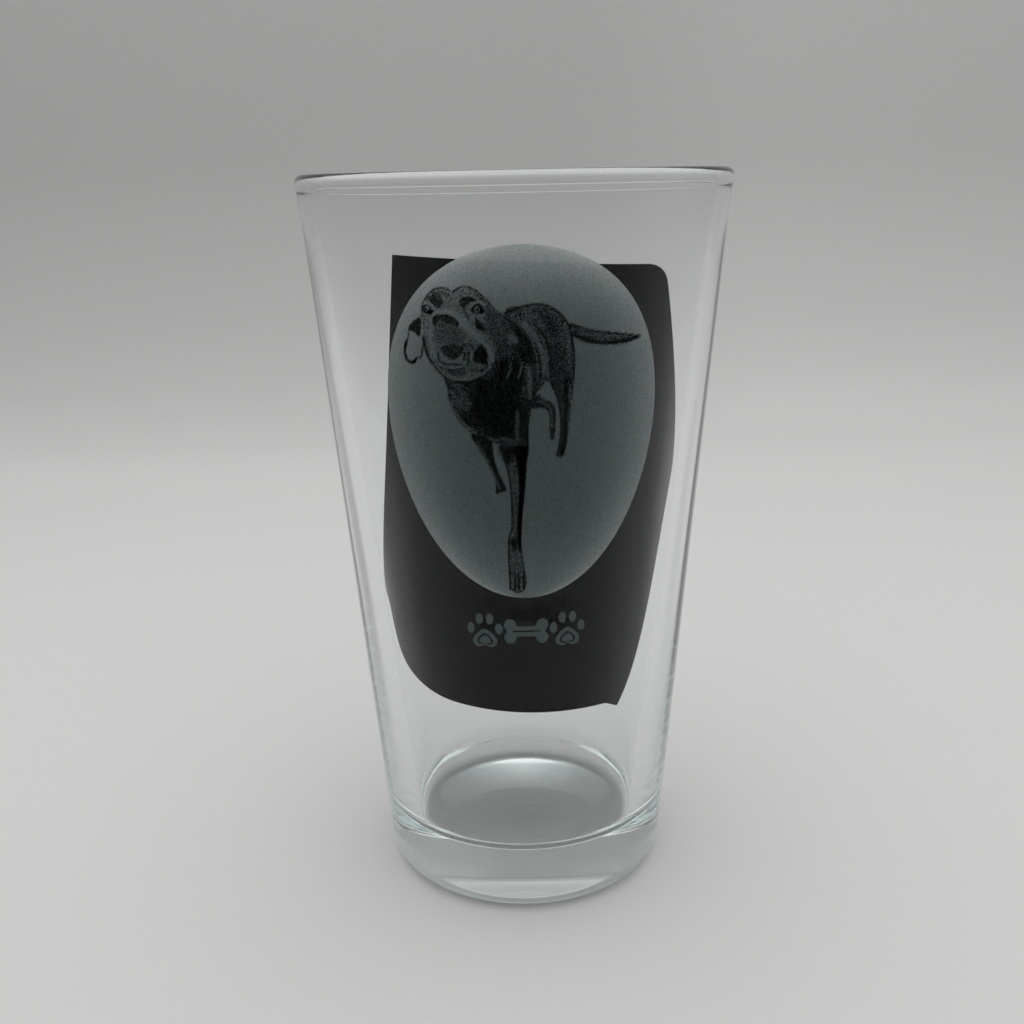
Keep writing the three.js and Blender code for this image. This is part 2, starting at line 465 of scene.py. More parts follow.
def draw_front_legs(picture):
    folded = [
        (-9.4, -0.6), (-7.6, -4.0), (-6.0, -7.1), (-5.1, -9.8), (-5.2, -11.7), (-4.2, -11.3),
        (-3.3, -11.1), (-3.6, -9.8), (-4.6, -7.4), (-5.3, -5.0), (-5.9, -1.4),
    ]
    picture.area(0.06, folded)
    picture.stroke(0.7, 0.25, [(-8.4, -1.8), (-7.0, -4.4), (-5.6, -7.6), (-4.8, -9.6)], 0.15)
    picture.stroke(0.8, 0.2, [(-4.7, -9.9), (-4.5, -11.2)], 0.1)
    leg = [
        (-4.4, -2.6), (-3.4, -5.2), (-2.8, -8.0), (-2.4, -12.0), (-2.4, -18.2), (-3.0, -20.4),
        (-3.1, -27.4), (-2.9, -30.4), (-1.6, -31.2), (-0.4, -30.6), (0.0, -28.6), (-0.3, -26.3),
        (-0.7, -22.0), (-0.5, -16.5), (0.1, -11.0), (0.4, -6.0), (0.7, -2.6),
    ]
    picture.area(0.42, leg)
    picture.area(0.04, [(-4.2, -2.8), (-3.2, -6.0), (-2.0, -5.4), (-1.4, -3.6), (0.6, -2.6)], 0.5)
    shade = [
        (-1.6, -3.0), (-1.2, -7.0), (-1.0, -11.4), (-1.3, -15.4), (-1.5, -19.6), (-1.2, -22.8),
        (-0.8, -22.0), (-0.5, -16.5), (0.1, -11.0), (0.5, -6.0), (0.7, -2.8),
    ]
    picture.area(0.0, shade)
    leg_left = [(-3.6, -4.6), (-2.8, -8.0), (-2.4, -12.0), (-2.4, -18.2), (-3.0, -20.4), (-3.1, -27.0)]
    picture.stroke(0.0, 0.3, leg_left)
    paw_right = [
        (-0.8, -22.0), (-0.4, -26.0), (0.0, -28.6), (-0.4, -30.6), (-1.6, -31.2), (-2.9, -30.4),
    ]
    picture.stroke(0.0, 0.2, paw_right)
    picture.area(0.05, [(-2.6, -20.6), (-1.6, -20.2), (-1.7, -22.6), (-2.5, -22.2)], 0.3)
    for toe in (-3.0, -2.05, -1.35, -0.45):
        picture.stroke(0.0, 0.35, [(toe, -27.2), (toe + 0.05, -28.8), (toe, -30.4)])


def draw_neck(picture):
    neck = [
        (-4.7, 20.9), (-2.3, 19.7), (-0.5, 18.0), (1.3, 15.0), (0.1, 12.2), (-2.5, 10.0), (-6.9, 9.6),
        (-6.6, 13.7),
    ]
    picture.area(0.2, neck, 0.3)
    throat = [(-4.2, 12.2), (-2.0, 13.2), (-0.0, 12.0), (0.1, 8.5), (-2.6, 6.3), (-6.2, 6.3)]
    picture.area(0.03, throat, 0.6)
    picture.area(0.65, [(-2.6, 16.8), (-1.6, 17.3), (-0.7, 16.1), (-0.9, 15.4), (-2.2, 15.8)], 0.3)
    picture.stroke(0.7, 0.9, [(0.4, 19.1), (1.9, 17.2), (3.1, 15.0), (3.8, 12.8), (3.9, 10.6)], 0.3)
    picture.stroke(0.7, 0.5, [(0.7, 11.7), (1.0, 10.4), (1.1, 8.5), (1.2, 6.2)], 0.3)
    ear = [
        (-1.3, 18.8), (-0.1, 17.8), (0.9, 16.5), (1.6, 14.7), (2.1, 13.1), (1.9, 12.1), (1.0, 12.0),
        (0.0, 12.6), (-0.8, 13.9), (-1.1, 15.4), (-0.4, 16.2), (-1.3, 17.7),
    ]
    picture.area(0.05, ear, 0.2)
    ear_edge = [
        (-4.0, 20.7), (-2.3, 19.7), (-0.6, 18.2), (0.8, 16.6), (1.8, 14.7), (2.2, 13.1), (1.9, 12.0),
    ]
    picture.stroke(0.0, 0.25, ear_edge)
    for shift in (0, 1.9):
        picture.stroke(0.7, 0.22, [(-0.1 - shift, 12.3), (-0.3 - shift, 11.0), (-0.8 - shift, 9.7)], 0.15)
        picture.stroke(0.0, 0.4, [(-1.1 - shift, 12.5), (-1.5 - shift, 10.7), (-2.2 - shift, 9.0)], 0.2)


def draw_left_ear(picture):
    lobe = [
        (-20.5, 17.4), (-19.4, 17.3), (-18.4, 16.6), (-17.9, 16.1), (-17.9, 14.4), (-18.4, 12.9),
        (-19.7, 12.8), (-20.9, 13.6), (-20.8, 15.6),
    ]
    picture.area(0.95, lobe)
    lobe_edge = [
        (-21.0, 15.8), (-21.4, 14.7), (-21.5, 13.5), (-21.1, 12.4), (-20.1, 12.0), (-19.4, 12.4),
    ]
    picture.stroke(0.0, 0.6, lobe_edge, 0.12)
    picture.stroke(0.0, 0.25, [(-20.5, 17.6), (-20.8, 16.2), (-21.4, 14.7)])
    picture.stroke(0.0, 0.3, [(-19.6, 12.5), (-19.1, 12.9), (-18.4, 12.9), (-18.0, 13.9), (-17.8, 15.2)])
    ear_top = [
        (-20.5, 17.7), (-20.3, 18.6), (-19.4, 19.4), (-17.9, 20.0), (-18.1, 17.1), (-18.5, 16.6),
        (-19.4, 17.4),
    ]
    picture.area(0.06, ear_top, 0.12)
    picture.area(0.15, [(-17.4, 20.0), (-16.2, 20.0), (-16.1, 18.5), (-16.7, 17.0), (-17.5, 17.5)], 0.12)


def draw_head(picture):
    head = [
        (-17.7, 20.3), (-17.5, 22.2), (-16.4, 23.9), (-15.3, 24.8), (-14.0, 25.2), (-12.8, 25.0),
        (-11.9, 24.7), (-11.0, 25.0), (-9.9, 25.4), (-8.6, 25.2), (-7.2, 24.3), (-5.8, 23.0),
        (-4.7, 21.6), (-4.3, 19.4), (-4.5, 15.7), (-4.9, 12.8), (-5.9, 11.0), (-7.6, 9.7), (-9.9, 9.0),
        (-12.1, 9.0), (-13.8, 9.7), (-15.2, 10.9), (-16.3, 12.1), (-17.1, 13.7), (-17.7, 15.5),
        (-17.8, 17.2), (-17.4, 18.7),
    ]
    picture.area(0.62, head, 0.15)
    outline = [
        (-3.7, 20.5), (-4.7, 21.6), (-5.8, 23.0), (-7.2, 24.3), (-8.6, 25.2), (-9.9, 25.4),
        (-11.0, 25.0), (-11.7, 24.5),
    ]
    picture.stroke(0.0, 0.25, outline)
    left_crown = [
        (-12.2, 24.8), (-12.8, 25.0), (-14.0, 25.2), (-15.3, 24.8), (-16.4, 23.9), (-17.5, 22.2),
        (-17.7, 20.3),
    ]
    picture.stroke(0.0, 0.25, left_crown)
    picture.stroke(0.0, 0.55, [(-17.6, 16.5), (-17.4, 15.1), (-17.0, 13.6), (-16.2, 12.2)], 0.12)
    jaw = [(-16.2, 12.2), (-15.2, 10.9), (-13.8, 9.7), (-12.1, 9.0), (-9.9, 9.0), (-7.5, 9.6)]
    picture.stroke(0.0, 0.3, jaw)
    temple = [
        (-5.9, 22.7), (-4.7, 21.3), (-3.0, 20.0), (-2.6, 16.6), (-4.5, 15.1), (-5.8, 17.4),
        (-6.3, 20.3),
    ]
    picture.area(0.3, temple, 0.4)
    left_brow_shade = [
        (-16.3, 23.8), (-15.0, 24.6), (-13.5, 24.7), (-12.4, 24.2), (-12.9, 23.7), (-15.0, 23.9),
    ]
    picture.area(0.32, left_brow_shade, 0.25)
    left_brow = [
        (-16.6, 23.4), (-15.0, 24.1), (-13.8, 23.4), (-13.7, 22.4), (-14.4, 21.7), (-15.3, 22.1),
        (-16.2, 22.9),
    ]
    picture.area(0.12, left_brow, 0.2)
    right_brow = [
        (-10.7, 23.1), (-9.9, 23.7), (-8.6, 23.6), (-7.7, 23.2), (-8.6, 22.8), (-9.3, 22.3),
        (-9.9, 21.6), (-10.5, 22.3),
    ]
    picture.area(0.1, right_brow, 0.15)
    picture.stroke(0.1, 0.3, [(-9.9, 21.6), (-9.6, 20.9), (-9.2, 19.9)], 0.15)
    for shift in (0, 0.7):
        wrinkle = [
            (-7.9 - shift, 24.2 - shift), (-6.8 - shift, 23.3 - shift), (-5.8 - shift, 22.1 - shift),
        ]
        picture.stroke(0.05, 0.25, wrinkle, 0.12)
    picture.stroke(0.2, 0.22, [(-12.4, 24.4), (-12.3, 23.4), (-12.6, 22.3)], 0.15)


def draw_eyes(picture):
    left_eye = [
        (-17.4, 22.0), (-16.7, 22.3), (-15.9, 21.8), (-15.4, 21.1), (-15.9, 20.6), (-16.9, 20.7),
        (-17.5, 21.1),
    ]
    picture.area(0.0, left_eye)
    picture.stroke(0.95, 0.3, [(-17.0, 22.5), (-16.3, 22.4), (-15.4, 21.8), (-15.2, 21.3)])
    picture.stroke(0.8, 0.2, [(-16.9, 21.7), (-16.5, 21.9), (-16.3, 21.6), (-16.7, 21.3)], 0.1)
    right_eye = [
        (-8.7, 21.4), (-8.0, 22.3), (-7.1, 22.4), (-6.3, 21.6), (-6.5, 20.9), (-7.5, 20.8),
        (-8.3, 21.0),
    ]
    picture.area(0.0, right_eye)
    picture.stroke(0.9, 0.35, [(-8.8, 22.0), (-8.1, 22.6), (-7.1, 22.8), (-6.2, 22.3)])
    iris = [(-8.0, 21.6), (-7.6, 21.9), (-7.2, 21.6), (-7.5, 21.2), (-7.9, 21.2), (-8.0, 21.6)]
    picture.stroke(0.8, 0.2, iris, 0.1)
    picture.stroke(0.75, 0.3, [(-8.4, 20.7), (-7.6, 20.4), (-6.5, 20.5)], 0.15)


def draw_nose(picture):
    nose = [
        (-16.0, 19.3), (-15.7, 20.6), (-14.5, 21.4), (-12.4, 21.6), (-10.9, 21.0), (-10.2, 19.7),
        (-11.0, 18.3), (-15.3, 18.5),
    ]
    picture.area(0.95, nose, 0.2)
    left_nostril = [
        (-15.7, 19.6), (-15.4, 20.3), (-14.7, 20.5), (-14.4, 19.7), (-14.9, 18.7), (-15.6, 18.8),
    ]
    picture.area(0.06, left_nostril, 0.12)
    right_nostril = [
        (-14.9, 20.5), (-13.3, 20.7), (-12.1, 20.4), (-11.2, 19.7), (-10.8, 18.9), (-11.2, 18.5),
        (-12.2, 18.8), (-14.3, 19.5),
    ]
    picture.area(0.1, right_nostril, 0.12)
    muzzle = [
        (-15.4, 18.5), (-14.3, 19.4), (-12.5, 19.0), (-11.0, 18.3), (-10.0, 17.4), (-10.2, 15.7),
        (-11.3, 15.5), (-13.3, 15.3), (-14.6, 15.6), (-15.2, 17.0),
    ]
    picture.area(0.38, muzzle, 0.2)
    picture.stroke(0.95, 1.3, [(-10.1, 19.9), (-9.5, 18.6), (-8.4, 17.4), (-7.2, 16.6)], 0.25)
    picture.stroke(0.95, 0.7, [(-7.5, 16.7), (-6.3, 15.7), (-5.6, 14.4), (-5.2, 12.8)], 0.2)
    picture.stroke(0.9, 0.6, [(-16.0, 17.9), (-16.2, 16.4), (-16.0, 14.7), (-16.2, 13.8)], 0.2)
    cheek_mark = [(-7.9, 19.9), (-7.3, 19.6), (-6.5, 18.7), (-6.0, 17.9), (-6.9, 17.9), (-7.8, 18.4)]
    picture.area(0.03, cheek_mark, 0.15)


def draw_mouth(picture):
    tongue = [
        (-14.4, 14.8), (-13.3, 15.3), (-11.7, 15.5), (-10.5, 15.2), (-10.2, 14.5), (-10.9, 13.6),
        (-12.1, 12.9), (-13.3, 13.3), (-14.1, 14.0),
    ]
    picture.area(0.12, tongue, 0.15)
    gape = [
        (-8.3, 14.0), (-7.7, 15.1), (-6.8, 15.4), (-6.1, 14.4), (-6.0, 13.0), (-6.3, 11.9),
        (-7.4, 12.2), (-8.5, 12.6),
    ]
    picture.area(0.02, gape, 0.15)
    picture.stroke(0.0, 0.3, [(-10.5, 15.1), (-9.9, 15.5), (-9.0, 15.5), (-8.5, 14.7)])
    folds = [[(-9.3, 14.2), (-9.6, 11.3)], [(-15.0, 14.0), (-14.7, 12.5)], [(-10.0, 13.9), (-10.2, 12.8)]]
    for fold in folds:
        picture.stroke(0.0, 0.3, fold)
    teeth = [
        [(-14.3, 13.8), (-14.1, 12.5)],
        [(-10.5, 13.6), (-10.7, 12.7)],
        [(-8.8, 14.0), (-8.9, 12.8)],
        [(-15.5, 14.2), (-15.5, 13.1)],
    ]
    for tooth in teeth:
        picture.stroke(0.95, 0.35, tooth)
    picture.stroke(0.9, 0.35, [(-13.8, 12.8), (-12.5, 12.4), (-10.9, 12.6), (-10.0, 12.4)])
    picture.stroke(0.0, 0.25, [(-14.5, 12.3), (-13.3, 11.9), (-11.9, 11.9), (-10.6, 12.1)])
    picture.stroke(0.9, 0.3, [(-14.7, 11.9), (-13.3, 11.5), (-11.6, 11.5), (-10.1, 11.7)])
    picture.stroke(0.05, 0.3, [(-14.4, 11.3), (-12.8, 11.0), (-11.3, 11.1), (-10.2, 11.4)])
    chin = [(-13.1, 10.9), (-11.3, 11.0), (-9.9, 10.9), (-10.3, 10.1), (-11.6, 9.9), (-12.9, 10.2)]
    picture.area(0.25, chin, 0.2)
    picture.stroke(0.85, 0.3, [(-9.8, 11.5), (-9.2, 10.6), (-9.8, 9.5)])
    picture.stroke(0.0, 0.3, [(-9.3, 11.2), (-8.2, 10.9), (-6.7, 11.1), (-6.1, 11.8)])
    picture.stroke(0.9, 0.35, [(-13.5, 9.9), (-12.0, 9.4), (-9.8, 9.4), (-7.9, 9.9)])


def draw_dog(picture):
    draw_tail(picture)
    draw_haunch(picture)
    draw_hind_legs(picture)
    draw_chest(picture)
    draw_front_legs(picture)
    draw_neck(picture)
    draw_left_ear(picture)
    draw_head(picture)
    draw_eyes(picture)
    draw_nose(picture)
    draw_mouth(picture)


# ---------------------------------------------------------------- the etched pieces

ETCH_LIFT = 0.05 * MM
ETCH_DEPTH = 0.03 * MM
ETCH_STEP = 0.2 * MM
MEDALLION_ACROSS = 0.9 * MM
MEDALLION_UP = 105 * MM
MEDALLION_HALF_WIDTH = 25.8 * MM
MEDALLION_HALF_HEIGHT = 32.3 * MM
MEDALLION_EGG = 0.14
# Painted light: the medallion's frost is made lighter towards its sides, top and bottom, as if lit from
# behind past the card's edges and over its top. Each pair gives how much lighter it is at the very edge, and
# the power it rises by towards there.
MEDALLION_PAINTED_BACKLIGHT_AT_SIDES = (1.9, 3.5)
MEDALLION_PAINTED_BACKLIGHT_AT_TOP = (3.7, 5)
MEDALLION_PAINTED_BACKLIGHT_AT_BOTTOM = (0.8, 4)
MARK_ACROSS = 0.8 * MM
MARK_UP = 65.7 * MM

# The mark is drawn in millimetres. The grid's points let its flat shapes follow the round wall.
MARK_PAW_OFFSET = 7.9
MARK_GRID_HALF_WIDTH = 11.2
MARK_GRID_HALF_HEIGHT = 3.9
MARK_GRID_COLUMNS = 33
MARK_GRID_ROWS = 13


def on_wall(across, up, lift):
    """Points on the tumbler's outer face, from lengths across and up the rolled-out glass."""
    turn = across / outer_radius(up)
    radius = outer_radius(up) + lift
    return np.stack((radius * np.sin(turn), -radius * np.cos(turn), up), -1)


def rising(share, most_and_power):
    """A power of the share, as much as the first number says where the share is 1, and nothing below 0."""
    most, power = most_and_power
    return most * np.maximum(share, 0) ** power


def etched_medallion():
    rows = round(2 * MEDALLION_HALF_HEIGHT / ETCH_STEP)
    columns = round(2 * MEDALLION_HALF_WIDTH / ETCH_STEP)
    share_up = -np.cos(np.linspace(0, math.pi, rows + 2)[1:-1, None])
    share_across = np.linspace(-1, 1, columns + 1)[None]
    half_width = MEDALLION_HALF_WIDTH * np.sqrt(1 - share_up**2) * (1 + MEDALLION_EGG * share_up)
    across = half_width * share_across
    up = MEDALLION_HALF_HEIGHT * share_up + 0 * across
    picture = Picture(across / MM, up / MM)
    draw_dog(picture)
    lift = ETCH_LIFT - ETCH_DEPTH * picture.frost
    points = on_wall(across + MEDALLION_ACROSS, up + MEDALLION_UP, lift).reshape(-1, 3)
    width = columns + 1
    faces = []
    for row in range(rows - 1):
        for column in range(columns):
            a = row * width + column
            faces.append((a, a + 1, a + width + 1, a + width))
    obj = make_mesh("etched_medallion", points, faces)
    # Painted light: how much lighter the frost is painted at each point, stored on the mesh beside the
    # frost.
    painted_backlight = (
        rising(np.abs(share_across), MEDALLION_PAINTED_BACKLIGHT_AT_SIDES)
        + rising(share_up, MEDALLION_PAINTED_BACKLIGHT_AT_TOP)
        + rising(-share_up, MEDALLION_PAINTED_BACKLIGHT_AT_BOTTOM)
    )
    for name, values in (("frost", picture.frost), ("painted_backlight", painted_backlight)):
        attribute = obj.data.attributes.new(name, "FLOAT", "POINT")
        attribute.data.foreach_set("value", values.reshape(-1).astype(np.float32))
    obj.data.materials.append(etched_glass("etched_medallion_glass", 1.0, drawn=True))
    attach(obj, "glass")


def bone_loops():
    """A dog's bone with a fine line left clear along its middle, in millimetres."""
    knob = [(3.6, 0), (4.2, 1.1), (3.9, 2.2), (3.0, 2.6), (2.1, 2.1), (1.7, 1.15), (0, 1.05)]
    outline = knob + [(-x, y) for x, y in knob[-2::-1]]
    outline += [(-x, -y) for x, y in knob[1:]] + [(x, -y) for x, y in knob[-2:0:-1]]
    groove = [(2.6, 0.17), (0, 0.17), (-2.6, 0.17), (-2.6, -0.17), (0, -0.17), (2.6, -0.17)]
    return [smooth(outline)[:-1], np.array(groove)]


def paw_loops(middle):
    """A paw print: a heel pad with a fine line left clear round it, and four toes, in millimetres."""
    pad = [(0, 0.4), (1.4, -0.5), (2.4, -2.0), (1.9, -3.2), (0.8, -3.4), (0, -3.0)]
    pad = np.array(pad + [(-x, y) for x, y in pad[-2:0:-1]])
    pad_middle = pad.mean(0)
    loops = [smooth(pad_middle + (pad - pad_middle) * size)[:-1] for size in (1, 0.64, 0.46)]
    turns = np.linspace(0, 2 * math.pi, 16, endpoint=False)
    toe = np.column_stack((0.72 * np.cos(turns), 1.15 * np.sin(turns)))
    for place in ((-2.7, 0.5), (-1.0, 2.5), (1.0, 2.5), (2.7, 0.5)):
        loops.append(toe + place)
    return [loop + (middle, 0) for loop in loops]


def etched_mark():
    """A generic mark of a bone between two paw prints."""
    loops = [*paw_loops(-MARK_PAW_OFFSET), *bone_loops(), *paw_loops(MARK_PAW_OFFSET)]
    columns = np.linspace(-MARK_GRID_HALF_WIDTH, MARK_GRID_HALF_WIDTH, MARK_GRID_COLUMNS)
    rows = np.linspace(-MARK_GRID_HALF_HEIGHT, MARK_GRID_HALF_HEIGHT, MARK_GRID_ROWS)
    grid = [(x, y) for x in columns for y in rows]
    flat = [Vector(point) for loop in loops for point in loop.tolist()] + [Vector(point) for point in grid]
    edges = []
    first = 0
    for loop in loops:
        count = len(loop)
        edges += [(first + i, first + (i + 1) % count) for i in range(count)]
        first += count
    verts, _, triangles, *_ = delaunay_2d_cdt(flat, edges, [], 0, 1e-6)
    verts = np.array([tuple(v) for v in verts])
    middles = np.array([verts[list(triangle)].mean(0) for triangle in triangles])
    kept = np.zeros(len(triangles), bool)
    for loop in loops:
        kept ^= within(np.vstack((loop, loop[:1])), middles[:, 0], middles[:, 1])
    faces = [triangle for triangle, keep in zip(triangles, kept) if keep]
    used = sorted({index for face in faces for index in face})
    place = {index: new for new, index in enumerate(used)}
    faces = [[place[index] for index in face] for face in faces]
    across, up = verts[used].T * MM
    points = on_wall(across + MARK_ACROSS, up + MARK_UP, ETCH_LIFT - ETCH_DEPTH)
    obj = make_mesh("etched_mark", points, faces)
    obj.data.materials.append(etched_glass("etched_mark_glass", 1.15))
    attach(obj, "glass")


# ---------------------------------------------------------------- materials


def new_material(name):
    material = bpy.data.materials.new(name)
    material.use_nodes = True
    nodes = material.node_tree.nodes
    return material, nodes, material.node_tree.links, nodes["Principled BSDF"]


GLASS_INDEX = 1.52
GLASS_ABSORPTION = 12  # per metre


def clear_glass():
    """Soda-lime glass, with a faint green tint where it is thick."""
    material, nodes, links, shader = new_material("clear_glass")
    shader.inputs["Base Color"].default_value = (0.955, 0.96, 0.958, 1)
    shader.inputs["Roughness"].default_value = 0.0
    shader.inputs["IOR"].default_value = GLASS_INDEX
    shader.inputs["Transmission Weight"].default_value = 1.0
    shader.inputs["Specular Tint"].default_value = (0.2, 0.2, 0.2, 1)
    absorption = nodes.new("ShaderNodeVolumeAbsorption")
    absorption.inputs["Color"].default_value = (0.75, 0.82, 0.81, 1)
    absorption.inputs["Density"].default_value = GLASS_ABSORPTION
    links.new(absorption.outputs["Volume"], nodes["Material Output"].inputs["Volume"])
    return material


def math_node(tree, operation, first, second, clamp=False):
    """A Math node, whose inputs are sockets or numbers."""
    node = tree.nodes.new("ShaderNodeMath")
    node.operation = operation
    node.use_clamp = clamp
    for socket, value in zip(node.inputs, (first, second)):
        if isinstance(value, bpy.types.NodeSocket):
            tree.links.new(value, socket)
        else:
            socket.default_value = value
    return node.outputs[0]


def noise_node(tree, size, stretch=(1, 1, 1), detail=2.0):
    """Noise with features of the given size in metres, stretched along the object's own axes."""
    place = tree.nodes.new("ShaderNodeTexCoord")
    mapping = tree.nodes.new("ShaderNodeMapping")
    mapping.inputs["Scale"].default_value = tuple(1 / (size * along) for along in stretch)
    noise = tree.nodes.new("ShaderNodeTexNoise")
    noise.inputs["Scale"].default_value = 1.0
    noise.inputs["Detail"].default_value = detail
    tree.links.new(place.outputs["Object"], mapping.inputs["Vector"])
    tree.links.new(mapping.outputs["Vector"], noise.inputs["Vector"])
    return noise.outputs["Fac"]


ETCH_COVER = 0.82
ETCH_COLOUR = (0.15, 0.19, 0.185)
# Painted light: the colour added to the frost for each unit of painted light stored on the mesh.
ETCH_PAINTED_BACKLIGHT = (0.175, 0.185, 0.183)
ETCH_GLOW = (0.05, 0.055, 0.055)
# Painted shade: where the glass is left clear, it darkens what is seen through it to this share, so that the
# picture's dark parts come out darker than the card behind.
ETCH_PAINTED_SHADE = 0.3
ETCH_SHARE_LIT_FROM_BEHIND = 0.5
GRAIN_SIZE = 0.32 * MM
GRAIN_DEPTH = 0.8
LINE_SIZE = 0.35 * MM
LINE_STRETCH = 14
LINE_DEPTH = 0.25
STIPPLE_SIZE = 0.2 * MM
STIPPLE_DEPTH = 3.2
FUR_SIZE = 0.55 * MM
FUR_DEPTH = 0.9


def centred_noise(tree, depth, *noise):
    """Noise about 0 that is as strong as depth says."""
    return math_node(tree, "MULTIPLY", math_node(tree, "SUBTRACT", noise_node(tree, *noise), 0.5), depth)


def stored(tree, name):
    """What the mesh stores under that name."""
    attribute = tree.nodes.new("ShaderNodeAttribute")
    attribute.attribute_name = name
    return attribute.outputs["Fac"]


def stippled(tree, frost):
    """Frost whose half-tones are broken up into dots and hairs. What is fully etched or clear stays so."""
    spread = math_node(tree, "MULTIPLY", frost, math_node(tree, "SUBTRACT", 1.0, frost))
    spread = math_node(tree, "SQRT", spread, 0.0)
    dots = centred_noise(tree, STIPPLE_DEPTH, STIPPLE_SIZE, (1, 1, 1), 0.0)
    fur = centred_noise(tree, FUR_DEPTH, FUR_SIZE)
    marks = math_node(tree, "MULTIPLY", math_node(tree, "ADD", dots, fur), spread)
    return math_node(tree, "ADD", frost, marks, clamp=True)


def frosted_shader(tree, drawn):
    """Half of it scatters light back, with painted light added where the mesh stores it, and half lets light
    through.
    """
    back = tree.nodes.new("ShaderNodeBsdfDiffuse")
    back.inputs["Color"].default_value = (*ETCH_COLOUR, 1)
    if drawn:
        # Painted light: the stored amount adds a lighter colour to the frost's own.
        lit = tree.nodes.new("ShaderNodeVectorMath")
        lit.operation = "MULTIPLY_ADD"
        lit.inputs[1].default_value = ETCH_PAINTED_BACKLIGHT
        lit.inputs[2].default_value = ETCH_COLOUR
        tree.links.new(stored(tree, "painted_backlight"), lit.inputs[0])
        tree.links.new(lit.outputs[0], back.inputs["Color"])
    through = tree.nodes.new("ShaderNodeBsdfTranslucent")
    through.inputs["Color"].default_value = (*ETCH_GLOW, 1)
    return mixed(tree, ETCH_SHARE_LIT_FROM_BEHIND, back, through)


def mixed(tree, share, first, second):
    """A mix of two shaders. The share of the second one is a socket or a number."""
    mix = tree.nodes.new("ShaderNodeMixShader")
    if isinstance(share, bpy.types.NodeSocket):
        tree.links.new(share, mix.inputs["Fac"])
    else:
        mix.inputs["Fac"].default_value = share
    tree.links.new(first.outputs[0], mix.inputs[1])
    tree.links.new(second.outputs[0], mix.inputs[2])
    return mix


def etched_glass(name, strength, drawn=False):
    """Frosted glass that lets a little light pass. A drawn one takes its frost and its painted light from
    the mesh.
    """
    material, nodes, links, shader = new_material(name)
    tree = material.node_tree
    nodes.remove(shader)
    grain = centred_noise(tree, GRAIN_DEPTH, GRAIN_SIZE)
    lines = centred_noise(tree, LINE_DEPTH, LINE_SIZE, (1, 1, LINE_STRETCH))
    unevenness = math_node(tree, "ADD", math_node(tree, "ADD", grain, lines), 1.0)
    cover = math_node(tree, "MULTIPLY", unevenness, ETCH_COVER * strength)
    if drawn:
        cover = math_node(tree, "MULTIPLY", cover, stippled(tree, stored(tree, "frost")))
    clear = nodes.new("ShaderNodeBsdfTransparent")
    # Painted shade: the clear parts pass only a grey share of the light behind them.
    clear.inputs["Color"].default_value = (ETCH_PAINTED_SHADE, ETCH_PAINTED_SHADE, ETCH_PAINTED_SHADE, 1)
    surface = mixed(tree, cover, clear, frosted_shader(tree, drawn))
    links.new(surface.outputs[0], nodes["Material Output"].inputs["Surface"])
    return material


CARD_FIBRE = 0.2 * MM
CARD_COCKLE = 5 * MM


def black_card():
    """Matt black paper with a fine fibre."""
    material, nodes, links, shader = new_material("black_card")
    tree = material.node_tree
    fibre = noise_node(tree, CARD_FIBRE, (2.5, 1, 1), 4.0)
    ramp = nodes.new("ShaderNodeValToRGB")
    darkest, lightest = ramp.color_ramp.elements
    darkest.position = 0.3
    darkest.color = (0.0025, 0.003, 0.0034, 1)
    lightest.position = 0.75
    lightest.color = (0.0065, 0.0075, 0.008, 1)
    links.new(fibre, ramp.inputs["Fac"])
    links.new(ramp.outputs["Color"], shader.inputs["Base Color"])
    shader.inputs["Roughness"].default_value = 0.85
    shader.inputs["Specular IOR Level"].default_value = 0.05
    bump = nodes.new("ShaderNodeBump")
    bump.inputs["Strength"].default_value = 0.2
    bump.inputs["Distance"].default_value = 0.01 * MM
    links.new(noise_node(tree, CARD_COCKLE, detail=0.0), bump.inputs["Height"])
    links.new(bump.outputs["Normal"], shader.inputs["Normal"])
    return material


def card_core():
    """The lighter fibre that shows where the card is cut."""
    material, nodes, links, shader = new_material("card_core")
    fibre = noise_node(material.node_tree, CARD_FIBRE)
    ramp = nodes.new("ShaderNodeValToRGB")
    ramp.color_ramp.elements[0].color = (0.02, 0.02, 0.021, 1)
    ramp.color_ramp.elements[1].color = (0.07, 0.07, 0.072, 1)
    links.new(fibre, ramp.inputs["Fac"])
    links.new(ramp.outputs["Color"], shader.inputs["Base Color"])
    shader.inputs["Roughness"].default_value = 0.95
    return material


# Painted light: off the floor, the paper is made up to this much lighter towards the right, as if more light
# fell on that side.
TENT_PAINTED_LIGHT_FROM_X = (0.02, 0.15)
TENT_PAINTED_LIGHT_FROM_Z = (0.0, 0.03)
TENT_PAINTED_LIGHT_GAIN = 0.11


def smooth_step(tree, value, start, end):
    """A smooth rise from 0 to 1 as the value goes from start to end."""
    node = tree.nodes.new("ShaderNodeMapRange")
    node.interpolation_type = "SMOOTHSTEP"
    node.inputs["From Min"].default_value = start
    node.inputs["From Max"].default_value = end
    tree.links.new(value, node.inputs["Value"])
    return node.outputs["Result"]


